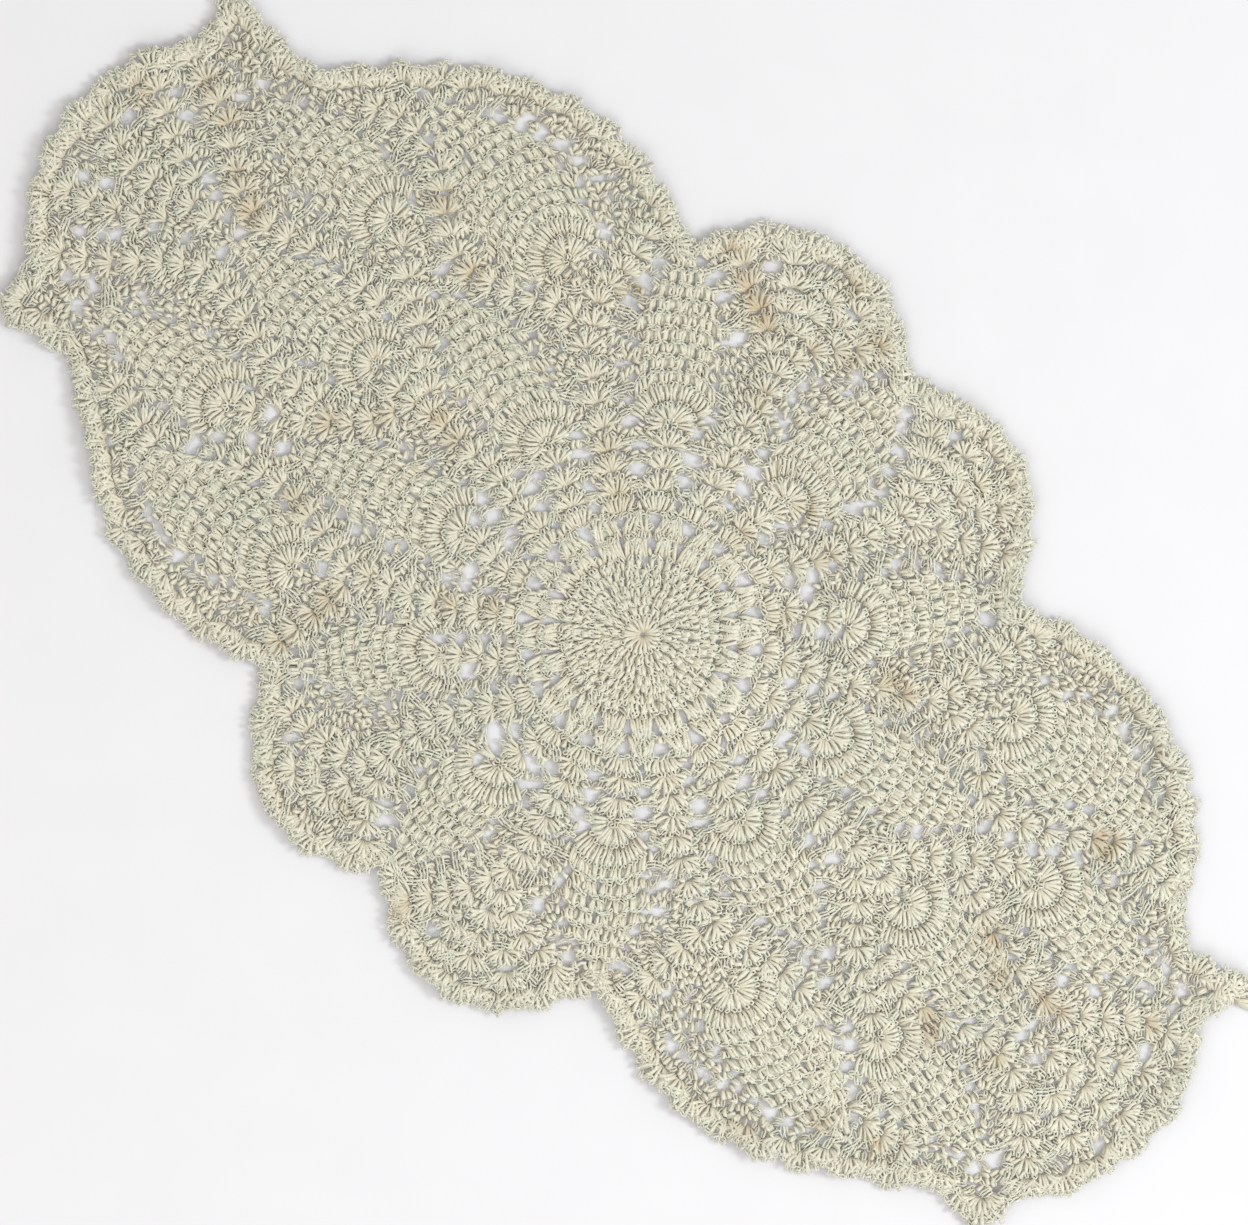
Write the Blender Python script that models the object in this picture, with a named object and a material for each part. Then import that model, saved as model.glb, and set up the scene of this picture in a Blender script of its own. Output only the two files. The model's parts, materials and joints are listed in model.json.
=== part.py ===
"""Lace doily: a flat, runner-shaped mat of crocheted cotton, worked in one piece.

Work starts at a round medallion near the middle. Pineapple motifs and columns
of shells spread from it into four large lobes, four small lobes, two rounded
ends and four pointed ears. The lace lies flat, so the mat is one sheet of
constant thickness. Its edge is scalloped by the last row of shells, and its
largest gaps go right through.

Sizes are in millimetres from the middle of the medallion, with X along the
mat's long axis. The finished mesh is in metres, centred over its own outline.
"""

import math

import bmesh
import bpy
from mathutils import Vector

MM = 0.001

# The sheet
THICKNESS = 2.0
ECRU = (0.62, 0.57, 0.43, 1.0)
ROUGHNESS = 0.95

# The edge: one shell of the last row makes one scallop
SHELL_WIDTH = 8.8
SCALLOP_DEPTH = 1.7
POINTS_PER_SCALLOP = 4
LOBE_STEPS = 240

# Lobes, anticlockwise from the right end. Each runs from its own notch to the
# next one's. The rise is measured from the chord between the two notches, the
# lean moves the crest along it (over 1 towards the next notch, under 1 back),
# and the fullness shapes the crest (under 1 blunt, over 1 narrow).
LOBE_COLUMNS = ("name", "notch_x", "notch_y", "rise", "lean", "fullness")
LOBES = (
    ("right_end", 209.0, -47.4, 17.5, 1.00, 0.80),
    ("upper_right_ear", 213.8, 34.6, 16.5, 0.40, 4.00),
    ("upper_right_lobe", 186.2, 56.3, 24.5, 1.00, 0.85),
    ("upper_right_small_lobe", 80.0, 88.6, 23.0, 1.10, 0.90),
    ("upper_left_small_lobe", 6.1, 116.5, 25.5, 0.95, 0.90),
    ("upper_left_lobe", -74.2, 101.1, 25.5, 0.90, 1.10),
    ("upper_left_ear", -198.4, 60.8, 14.0, 3.50, 0.50),
    ("left_end", -232.6, 41.0, 21.0, 1.00, 1.00),
    ("lower_left_ear", -220.8, -51.2, 11.8, 0.45, 1.20),
    ("lower_left_lobe", -196.8, -61.8, 18.9, 1.25, 1.15),
    ("lower_left_small_lobe", -79.0, -89.6, 21.5, 1.10, 0.85),
    ("lower_right_small_lobe", -7.7, -111.4, 25.0, 1.00, 0.95),
    ("lower_right_lobe", 66.6, -91.5, 20.8, 0.85, 1.50),
    ("lower_right_ear", 193.6, -61.8, 9.2, 1.30, 0.90),
)

# Rings of like gaps around the medallion. Along and across are a gap's sizes
# around the ring and outwards from its middle.
RING_COLUMNS = ("name", "radius", "count", "first_deg", "along", "across", "slant_deg", "corners")
RINGS = (
    ("medallion_gaps", 36.6, 20, 0.0, 7.2, 6.2, 0.0, 8),
    ("inner_spoke_gaps", 50.2, 20, 9.0, 6.6, 3.8, 14.0, 6),
    ("middle_spoke_gaps", 57.6, 20, 9.0, 7.4, 4.6, -14.0, 6),
    ("outer_spoke_gaps", 64.6, 20, 9.0, 7.0, 4.2, 14.0, 6),
)

# Straight rows of like gaps, between columns of shells and inside the edge.
# The slant is the turn of a gap's long side from the line of its row.
ROW_GAP_CORNERS = 6
ROW_COLUMNS = ("name", "start_x", "start_y", "end_x", "end_y", "count", "along", "across", "slant_deg")
ROWS = (
    ("upper_left_notch", -77.0, 74.0, -78.0, 89.5, 3, 4.8, 3.2, 90.0),
    ("upper_left_small_lobe_foot", -68.5, 100.0, -43.0, 91.0, 5, 4.6, 4.0, 45.0),
    ("upper_left_small_lobe_middle", -13.0, 112.0, -21.5, 121.0, 2, 4.6, 3.2, 30.0),
    ("upper_left_lobe_edge", -146.0, 90.0, -107.0, 97.0, 6, 4.4, 3.4, 60.0),
    ("upper_left_pineapple_tip", -149.0, 50.5, -128.0, 36.5, 3, 5.0, 3.2, 30.0),
    ("upper_right_notch", 79.0, 81.0, 74.0, 60.0, 3, 4.4, 3.0, 60.0),
    ("upper_right_small_lobe_middle", 13.0, 110.0, 29.5, 115.5, 2, 4.8, 3.4, 20.0),
    ("upper_right_lobe_edge", 110.0, 88.5, 153.0, 73.5, 6, 4.4, 3.2, 60.0),
    ("upper_right_pineapple_tip", 101.0, 13.0, 131.0, 27.5, 4, 4.8, 3.0, 30.0),
    ("left_end_upper_fan", -181.0, 4.5, -231.0, 26.0, 6, 4.6, 3.6, 55.0),
    ("left_end_lower_fan", -190.5, -13.0, -229.0, -24.0, 5, 4.6, 3.4, 60.0),
    ("left_end_middle_fan", -213.0, 3.0, -236.0, 2.0, 3, 4.4, 3.4, 70.0),
    ("upper_left_ear_row", -194.0, 44.5, -214.0, 35.5, 3, 4.4, 3.2, 50.0),
    ("lower_left_ear_row", -193.0, -32.0, -213.5, -44.0, 4, 4.6, 3.4, 50.0),
    ("right_end_upper_fan", 181.0, 3.5, 217.0, 15.0, 5, 4.4, 3.2, 60.0),
    ("right_end_lower_fan", 176.5, -5.0, 216.0, -23.0, 5, 4.6, 3.4, 60.0),
    ("upper_right_ear_row", 196.0, 30.0, 205.0, 38.0, 2, 4.6, 3.4, 40.0),
    ("lower_right_ear_row", 190.0, -38.0, 200.5, -46.0, 2, 5.2, 3.8, 30.0),
    ("lower_left_pineapple_tip", -123.5, -35.5, -148.0, -53.5, 4, 5.0, 3.4, 20.0),
    ("lower_left_lobe_edge", -166.0, -73.0, -110.0, -92.0, 7, 4.4, 3.0, 60.0),
    ("lower_left_small_lobe_middle", -30.5, -111.0, -19.0, -94.5, 3, 4.6, 3.4, 80.0),
    ("lower_right_pineapple_tip", 109.5, -38.0, 139.0, -49.5, 4, 4.6, 3.0, 30.0),
    ("lower_right_small_lobe_foot", 32.0, -82.0, 61.0, -92.0, 5, 4.8, 3.6, 50.0),
    ("lower_right_small_lobe_middle", 16.5, -113.5, 43.5, -107.5, 2, 5.2, 3.8, 10.0),
    ("lower_right_lobe_edge", 90.0, -90.0, 147.0, -80.0, 7, 4.4, 3.0, 60.0),
)


def named(columns, rows):
    """Turn a table's rows into dictionaries with the column names as keys."""
    return [dict(zip(columns, row)) for row in rows]


def lobe_edge(lobe, next_lobe):
    """The smooth edge of one lobe, from its own notch up to the next one."""
    start = Vector((lobe["notch_x"], lobe["notch_y"]))
    chord = Vector((next_lobe["notch_x"], next_lobe["notch_y"])) - start
    outward = Vector((chord.y, -chord.x)).normalized()
    points = []
    for step in range(LOBE_STEPS + 1):
        share = step / LOBE_STEPS
        leaned = share ** lobe["lean"]
        swell = (4.0 * leaned * (1.0 - leaned)) ** lobe["fullness"]
        points.append(start + chord * share + outward * lobe["rise"] * swell)
    return points


def scalloped(points):
    """Walk a smooth edge and let each shell stand out from it as one scallop."""
    lengths = [0.0]
    for before, after in zip(points, points[1:]):
        lengths.append(lengths[-1] + (after - before).length)
    shells = max(2, round(lengths[-1] / SHELL_WIDTH))
    samples = shells * POINTS_PER_SCALLOP
    scallops = []
    index = 0
    for sample in range(samples):
        distance = lengths[-1] * sample / samples
        while lengths[index + 1] < distance:
            index += 1
        direction = (points[index + 1] - points[index]).normalized()
        place = points[index] + direction * (distance - lengths[index])
        outward = Vector((direction.y, -direction.x))
        crest = math.sin(math.pi * (sample % POINTS_PER_SCALLOP) / POINTS_PER_SCALLOP)
        scallops.append(place + outward * SCALLOP_DEPTH * (crest - 0.5))
    return scallops


def mat_outline():
    """The whole scalloped outline, anticlockwise."""
    lobes = named(LOBE_COLUMNS, LOBES)
    outline = []
    for lobe, next_lobe in zip(lobes, lobes[1:] + lobes[:1]):
        outline += scalloped(lobe_edge(lobe, next_lobe))
    return outline


def gap_outline(middle, along, across, turn, corners):
    """A gap as an even polygon stretched to its two sizes, clockwise, turned from X.

    Six corners give a gap with two pointed ends, eight give one with flat sides.
    """
    first = 0.0 if corners == 6 else 0.5
    angles = [math.tau * (first + number) / corners for number in range(corners)]
    half_along = along / 2.0 / max(math.cos(angle) for angle in angles)
    half_across = across / 2.0 / max(math.sin(angle) for angle in angles)
    cosine = math.cos(turn)
    sine = math.sin(turn)
    outline = []
    for angle in reversed(angles):
        x = half_along * math.cos(angle)
        y = half_across * math.sin(angle)
        outline.append(middle + Vector((x * cosine - y * sine, x * sine + y * cosine)))
    return outline


def ring_gaps():
    """The gaps that lie in rings around the medallion."""
    gaps = []
    for ring in named(RING_COLUMNS, RINGS):
        for number in range(ring["count"]):
            angle = math.radians(ring["first_deg"] + 360.0 * number / ring["count"])
            middle = Vector((math.cos(angle), math.sin(angle))) * ring["radius"]
            turn = angle + math.radians(90.0 + ring["slant_deg"])
            gaps.append(gap_outline(middle, ring["along"], ring["across"], turn, ring["corners"]))
    return gaps


def row_gaps():
    """The gaps that lie in straight rows."""
    gaps = []
    for row in named(ROW_COLUMNS, ROWS):
        start = Vector((row["start_x"], row["start_y"]))
        run = Vector((row["end_x"], row["end_y"])) - start
        turn = math.atan2(run.y, run.x) + math.radians(row["slant_deg"])
        for number in range(row["count"]):
            middle = start + run * number / (row["count"] - 1)
            gaps.append(gap_outline(middle, row["along"], row["across"], turn, ROW_GAP_CORNERS))
    return gaps


def flat_triangles(loops):
    """Fill the outline and leave the gaps open. Points are numbered loop by loop."""
    bm = bmesh.new()
    edges = []
    for loop in loops:
        ring = [bm.verts.new((point.x, point.y, 0.0)) for point in loop]
        edges += [bm.edges.new(pair) for pair in zip(ring, ring[1:] + ring[:1])]
    bm.verts.index_update()
    bmesh.ops.triangle_fill(bm, use_beauty=True, edges=edges)
    bm.normal_update()
    triangles = []
    for face in bm.faces:
        corners = [vert.index for vert in face.verts]
        if face.normal.z < 0.0:
            corners.reverse()
        triangles.append(corners)
    bm.free()
    return triangles


def sheet_mesh(name, loops):
    """Give the flat shape its thickness, with a wall around every loop."""
    flat = [point for loop in loops for point in loop]
    total = len(flat)
    heights = (0.0, THICKNESS)
    points = [(p.x * MM, p.y * MM, height * MM) for height in heights for p in flat]
    triangles = flat_triangles(loops)
    faces = [tuple(reversed(corners)) for corners in triangles]
    faces += [tuple(corner + total for corner in corners) for corners in triangles]
    first = 0
    for loop in loops:
        count = len(loop)
        for number in range(count):
            here = first + number
            ahead = first + (number + 1) % count
            faces.append((here, ahead, ahead + total))
            faces.append((here, ahead + total, here + total))
        first += count
    mesh = bpy.data.meshes.new(name)
    mesh.from_pydata(points, [], faces)
    mesh.validate()
    mesh.update()
    return mesh


def cotton_material():
    """Unbleached cotton thread."""
    material = bpy.data.materials.new("ecru_cotton")
    material.use_nodes = True
    shader = material.node_tree.nodes["Principled BSDF"]
    shader.inputs["Base Color"].default_value = ECRU
    shader.inputs["Roughness"].default_value = ROUGHNESS
    shader.inputs["Metallic"].default_value = 0.0
    return material


def make_doily():
    """The mat, with the middle of its outline's box at the origin."""
    outline = mat_outline()
    lowest = Vector((min(p.x for p in outline), min(p.y for p in outline)))
    highest = Vector((max(p.x for p in outline), max(p.y for p in outline)))
    middle = (lowest + highest) / 2.0
    loops = [[point - middle for point in loop] for loop in [outline] + ring_gaps() + row_gaps()]
    mesh = sheet_mesh("doily", loops)
    mesh.materials.append(cotton_material())
    doily = bpy.data.objects.new("doily", mesh)
    bpy.context.scene.collection.objects.link(doily)
    return doily


for leftover in list(bpy.data.objects):
    bpy.data.objects.remove(leftover, do_unlink=True)
make_doily()
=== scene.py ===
"""Crocheted lace doily: lace at the level of the thread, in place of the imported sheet.

Layout numbers are millimetres from the middle of the medallion, +x along the mat.
Angles are radians unless a name says degrees.
"""
import math

import bpy
import numpy as np
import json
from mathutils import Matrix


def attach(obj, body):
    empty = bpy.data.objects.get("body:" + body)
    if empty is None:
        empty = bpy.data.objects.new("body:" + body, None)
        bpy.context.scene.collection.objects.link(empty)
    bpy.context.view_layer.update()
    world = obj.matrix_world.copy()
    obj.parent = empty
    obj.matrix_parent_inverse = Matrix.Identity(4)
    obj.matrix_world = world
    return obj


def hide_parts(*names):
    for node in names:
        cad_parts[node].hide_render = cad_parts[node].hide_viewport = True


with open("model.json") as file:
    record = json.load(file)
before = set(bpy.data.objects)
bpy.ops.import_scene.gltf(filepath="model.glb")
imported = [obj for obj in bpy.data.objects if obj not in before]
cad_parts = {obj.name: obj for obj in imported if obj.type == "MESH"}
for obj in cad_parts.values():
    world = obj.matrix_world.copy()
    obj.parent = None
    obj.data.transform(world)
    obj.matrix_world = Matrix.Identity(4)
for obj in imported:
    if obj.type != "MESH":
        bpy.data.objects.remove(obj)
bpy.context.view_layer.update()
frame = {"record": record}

MM = 0.001
THREAD = 0.40         # radius of a chain's thread
LEG_THREAD = 0.52     # radius of a post's
LEG_TAPER = (0.88, 1.22)      # a post's thickness at its root and at its tip, times that radius
LEG_SECTION = (0.80, 1.75)    # half width of a post's upper side and of its underside, likewise
ROW = 6.6             # pitch of the shell rows
LEG = 5.5             # length of a double crochet post
CHAIN_PITCH = 2.4     # length that one chain stitch takes up
LOOP_PITCH = 5.6      # width of one chain loop of a pineapple
LOOP_ROW = 4.7        # height of one row of such loops
FAN_REACH = 7.4       # radius of a pineapple's first round
RING_REACH = 13.8     # radius of its second round
SCALLOP = 7.3         # width of one shell of the edge
EDGE_DEPTH = 6.0      # how far its base lies inside the edge
SPOKES = 20           # spokes of the medallion
FLOOR_GAP = 0.05      # least clearance of a thread over the floor

# ---- layout tables

# pineapples: base, tip, width at the widest
PINEAPPLE_COLUMNS = ("name", "bx", "by", "tx", "ty", "width")
PINEAPPLES = (
    ("p1", 3.5, 63.0, 7.0, 116.0, 31.0),
    ("p2", 44.8, 48.0, 75.8, 89.6, 30.0),
    ("p3", 64.6, 18.2, 118.0, 31.0, 30.0),
    ("p4", 62.7, -20.5, 108.5, -33.3, 28.0),
    ("p5", 35.2, -49.6, 64.6, -88.6, 29.0),
    ("p6", -4.5, -60.5, -7.0, -107.2, 30.0),
    ("p7", -41.9, -48.0, -75.2, -85.4, 29.0),
    ("p8", -63.7, -14.7, -118.4, -31.4, 29.0),
    ("p9", -64.3, 23.7, -121.0, 34.6, 30.0),
    ("p10", -39.0, 55.0, -73.6, 98.2, 30.0),
    ("s0", 120.3, -3.8, 176.0, -6.7, 27.0),
    ("s1", 103.4, 63.0, 166.4, 69.2, 39.0),
    ("s2", 99.0, -61.0, 158.0, -71.0, 36.0),
    ("s3", -99.5, 71.0, -166.4, 77.2, 40.0),
    ("s4", -121.3, 4.2, -179.8, 1.3, 28.0),
    ("s5", -95.7, -61.8, -158.0, -69.4, 36.0),
    ("t1", 146.9, 30.1, 195.8, 34.2, 28.0),
    ("t2", 143.7, -40.3, 193.9, -44.8, 27.0),
    ("t3", -149.1, 41.3, -203.5, 41.3, 28.0),
    ("t4", -146.6, -38.4, -195.5, -42.9, 27.0),
)

# columns of shells: the bases of the shells in turn
COLUMNS = {
    "c000": ((46.1, -1.3), (53.1, -1.6), (60.8, -1.3), (67.8, -1.6), (74.9, -1.9), (82.2, -1.3),
        (89.6, -1.9), (96.0, -1.6), (102.4, -1.6), (109.8, -3.0)),
    "c036": ((38.5, 26.0), (45.4, 28.5), (52.2, 31.6), (59.2, 35.2), (66.4, 40.0), (74.0, 44.0),
        (81.5, 48.0)),
    "c072": ((15.5, 43.0), (19.2, 49.2), (22.8, 54.8), (25.6, 60.3), (28.8, 66.3), (31.0, 72.4),
        (32.4, 78.6)),
    "c108": ((-13.4, 43.8), (-15.4, 51.2), (-17.6, 57.6), (-19.8, 64.0), (-22.4, 70.7),
        (-22.9, 77.0), (-24.6, 83.4), (-26.9, 90.2)),
    "c144": ((-37.1, 27.0), (-43.0, 31.0), (-48.6, 35.2), (-55.0, 40.0), (-61.5, 44.8),
        (-68.5, 49.6), (-76.0, 54.5)),
    "c180": ((-46.0, 2.6), (-52.5, 2.9), (-59.0, 3.4), (-65.3, 4.5), (-71.5, 4.8), (-78.0, 4.9),
        (-85.0, 5.0), (-91.0, 5.2), (-97.0, 5.6), (-103.5, 4.6), (-110.8, 4.2)),
    "c216": ((-37.1, -26.5), (-42.9, -30.4), (-48.6, -33.8), (-55.0, -37.2), (-61.5, -40.3),
        (-68.0, -43.5), (-74.8, -46.6)),
    "c252": ((-15.0, -43.6), (-19.0, -48.6), (-22.4, -54.0), (-25.4, -59.6), (-28.0, -65.4),
        (-29.8, -71.6), (-31.0, -77.8), (-31.4, -84.2)),
    "c288": ((13.1, -43.8), (14.4, -50.5), (16.0, -57.0), (17.6, -63.6), (19.5, -70.0),
        (20.8, -76.5), (21.4, -83.2)),
    "c324": ((37.0, -27.0), (42.5, -31.0), (47.5, -35.0), (53.0, -38.8), (59.0, -42.2),
        (66.0, -45.6), (73.5, -49.0)),
    # beside the first pineapples, out to the edge
    "p2_s1": ((84.0, 54.5), (85.1, 61.0), (86.2, 67.6), (87.0, 74.2), (88.6, 80.8), (91.6, 87.0)),
    "p10_s3": ((-79.0, 61.0), (-82.8, 67.0), (-84.0, 73.4), (-84.8, 80.0), (-85.6, 86.6),
        (-87.4, 93.2)),
    "p7_s5": ((-79.4, -53.4), (-80.0, -60.0), (-80.6, -66.8), (-81.4, -73.6), (-82.6, -80.2)),
    "p5_s2": ((80.0, -56.4), (79.4, -63.0), (78.6, -69.8), (78.6, -76.6), (80.4, -83.4)),
    # under and over the long lobes
    "s1_t1": ((90.4, 50.4), (97.0, 50.6), (104.0, 48.0), (110.0, 43.6), (116.4, 39.8),
        (123.2, 38.0), (130.0, 40.4), (136.6, 44.8), (143.0, 48.6), (149.0, 53.0),
        (155.0, 56.6), (161.8, 59.2), (168.8, 59.6), (175.6, 58.4)),
    "s3_t3": ((-85.8, 58.0), (-92.8, 57.6), (-99.4, 54.6), (-105.6, 51.2), (-112.4, 48.6),
        (-119.4, 47.0), (-126.0, 48.0), (-132.4, 51.0), (-138.6, 54.6), (-144.0, 59.0),
        (-149.6, 63.0), (-156.0, 66.4), (-163.0, 67.4), (-170.0, 66.4), (-176.8, 64.4)),
    "s2_t2": ((80.8, -50.6), (87.6, -50.4), (94.0, -48.8), (100.6, -47.4), (107.4, -46.4),
        (114.2, -46.4), (121.0, -47.8), (127.6, -50.4), (134.0, -53.8), (139.6, -58.2),
        (145.4, -62.6), (152.0, -65.0), (159.0, -63.4), (166.0, -61.8), (173.0, -60.0)),
    "s5_t4": ((-82.4, -48.6), (-89.2, -48.2), (-96.0, -47.2), (-102.8, -45.8), (-109.6, -44.8),
        (-116.4, -44.6), (-123.2, -46.0), (-129.8, -48.8), (-136.0, -52.4), (-141.8, -56.6),
        (-147.8, -60.6), (-154.4, -62.8), (-161.4, -62.0), (-168.4, -60.4),
        (-175.4, -59.4)),
    # from the ends of the middle columns to the outer pineapples
    "to_t1": ((106.9, 3.2), (110.7, 8.4), (115.2, 13.4), (120.6, 17.6), (126.4, 21.4),
        (132.4, 25.4), (139.0, 28.6)),
    "to_t2": ((104.0, -8.6), (109.6, -14.0), (114.6, -19.2), (119.6, -24.4), (125.6, -28.6),
        (132.0, -32.2), (137.8, -36.2)),
    "to_t3": ((-102.7, 10.4), (-108.8, 13.6), (-113.8, 18.4), (-119.6, 23.0), (-125.8, 27.4),
        (-132.6, 31.8), (-140.8, 38.0)),
    "to_t4": ((-106.2, -2.6), (-109.4, -8.8), (-113.4, -14.4), (-118.6, -19.4), (-125.0, -24.0),
        (-132.0, -28.6), (-139.4, -33.6)),
    "s0_t1": ((127.6, 14.6), (134.2, 13.4), (140.8, 11.6), (147.6, 9.6), (154.2, 7.8),
        (161.0, 6.4), (167.6, 5.2), (174.2, 4.8), (180.5, 5.6), (186.4, 8.6), (191.8, 12.8),
        (196.6, 17.6), (202.2, 21.8), (208.8, 24.4)),
    "s0_t2": ((127.4, -22.4), (134.2, -24.0), (141.0, -24.4), (147.8, -23.2), (154.4, -21.2),
        (161.0, -19.2), (167.8, -18.0), (174.6, -17.8), (181.4, -19.0), (187.4, -22.6),
        (193.0, -26.8), (198.8, -31.0), (204.6, -35.4)),
    "s4_t3": ((-127.0, 19.6), (-134.0, 19.6), (-141.0, 19.2), (-148.0, 18.8), (-155.0, 18.0),
        (-162.0, 16.2), (-169.0, 14.0), (-176.0, 12.0), (-183.0, 11.8), (-189.8, 14.6),
        (-196.0, 18.6), (-202.0, 23.2), (-208.4, 27.6), (-215.4, 30.8), (-223.0, 32.8),
        (-230.6, 34.2)),
    "s4_t4": ((-126.0, -17.6), (-133.0, -18.8), (-140.0, -18.6), (-147.0, -17.6), (-154.0, -15.8),
        (-160.8, -13.6), (-167.6, -12.2), (-174.6, -11.6), (-181.6, -12.2),
        (-188.2, -15.2), (-193.8, -19.6), (-199.2, -25.0), (-204.8, -31.0),
        (-211.0, -36.0), (-218.0, -40.0)),
    # the two ends
    "right_mid": ((187.8, -6.6), (195.2, -6.2), (202.6, -6.0), (210.0, -5.4), (217.6, -4.0)),
    "right_up": ((199.6, 2.6), (206.0, 6.8), (212.6, 10.2)),
    "right_low": ((196.8, -14.4), (203.4, -17.8), (210.0, -20.4)),
    "left_mid": ((-191.2, 0.6), (-198.6, 0.2), (-206.0, -0.8), (-213.4, -2.0), (-221.0, -2.4),
                 (-229.0, -1.6), (-236.4, 0.4)),
    "left_up": ((-203.2, 7.6), (-210.6, 9.8), (-217.4, 13.0), (-224.6, 16.2), (-232.0, 19.2)),
    "left_low": ((-202.0, -9.6), (-208.6, -14.0), (-215.6, -17.6), (-222.8, -20.6),
                 (-230.2, -22.6)),
    # the four small lobes: hugging the pineapples on both sides, and up the middle
    "ur_left": ((33.6, 85.0), (32.2, 91.6), (29.4, 97.8), (26.6, 104.2), (23.2, 110.2),
                (19.6, 116.0)),
    "ur_right": ((38.6, 86.2), (45.4, 89.8), (52.4, 92.4), (59.0, 95.6), (65.6, 98.6)),
    "ur_mid": ((38.6, 95.2), (42.4, 101.8), (44.4, 109.0)),
    "ur_mid_2": ((50.4, 102.4), (55.0, 108.6)),
    "ur_mid_3": ((36.4, 105.6), (35.6, 113.2)),
    "ul_right": ((-25.2, 96.8), (-22.4, 103.2), (-18.2, 109.0), (-13.4, 114.0), (-8.6, 119.0)),
    "ul_left": ((-32.4, 94.2), (-38.0, 98.8), (-44.4, 102.2), (-51.0, 105.2), (-57.8, 108.4)),
    "ul_mid": ((-30.2, 104.0), (-31.4, 111.4), (-29.6, 118.8)),
    "ul_mid_2": ((-37.4, 107.6), (-41.2, 114.4), (-46.6, 119.4)),
    "ul_mid_3": ((-22.0, 115.6), (-20.0, 122.6)),
    "lr_left": ((19.6, -89.6), (17.0, -96.0), (13.4, -101.8), (9.0, -107.2), (4.2, -112.2)),
    "lr_right": ((25.6, -88.8), (32.2, -92.2), (39.2, -94.4), (46.4, -95.4), (53.6, -95.6)),
    "lr_mid": ((26.0, -97.4), (28.6, -104.6), (31.4, -111.6)),
    "lr_mid_2": ((38.4, -102.4), (43.8, -107.8)),
    "lr_mid_3": ((20.4, -106.6), (20.4, -113.8)),
    "ll_right": ((-29.4, -91.0), (-26.6, -97.4), (-23.0, -103.2), (-18.8, -108.6)),
    "ll_left": ((-35.4, -89.4), (-42.0, -92.8), (-48.8, -94.6), (-56.0, -95.6), (-63.4, -95.6)),
    "ll_mid": ((-35.2, -98.4), (-37.4, -105.6)),
    "ll_mid_2": ((-44.8, -101.6), (-50.0, -107.4)),
}

# the edge's lobes, from notch to notch against the clock, as in the sheet's own outline
LOBE_COLUMNS = ("name", "notch_x", "notch_y", "rise", "lean", "fullness")
LOBES = (
    ("right_end", 209.0, -47.4, 17.5, 1.0, 0.8),
    ("upper_right_ear", 213.8, 34.6, 16.5, 0.4, 4.0),
    ("upper_right_lobe", 186.2, 56.3, 24.5, 1.0, 0.85),
    ("upper_right_small_lobe", 80.0, 88.6, 23.0, 1.1, 0.9),
    ("upper_left_small_lobe", 6.1, 116.5, 25.5, 0.95, 0.9),
    ("upper_left_lobe", -74.2, 101.1, 25.5, 0.9, 1.1),
    ("upper_left_ear", -198.4, 60.8, 14.0, 3.5, 0.5),
    ("left_end", -232.6, 41.0, 21.0, 1.0, 1.0),
    ("lower_left_ear", -220.8, -51.2, 11.8, 0.45, 1.2),
    ("lower_left_lobe", -196.8, -61.8, 18.9, 1.25, 1.15),
    ("lower_left_small_lobe", -79.0, -89.6, 21.5, 1.1, 0.85),
    ("lower_right_small_lobe", -7.7, -111.4, 25.0, 1.0, 0.95),
    ("lower_right_lobe", 66.6, -91.5, 20.8, 0.85, 1.5),
    ("lower_right_ear", 193.6, -61.8, 9.2, 1.3, 0.9),
)

# the larger holes that show the table: half length across the rows and along them, then x and y
HOLE_COLUMNS = ("across", "along", "x", "y")
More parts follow.
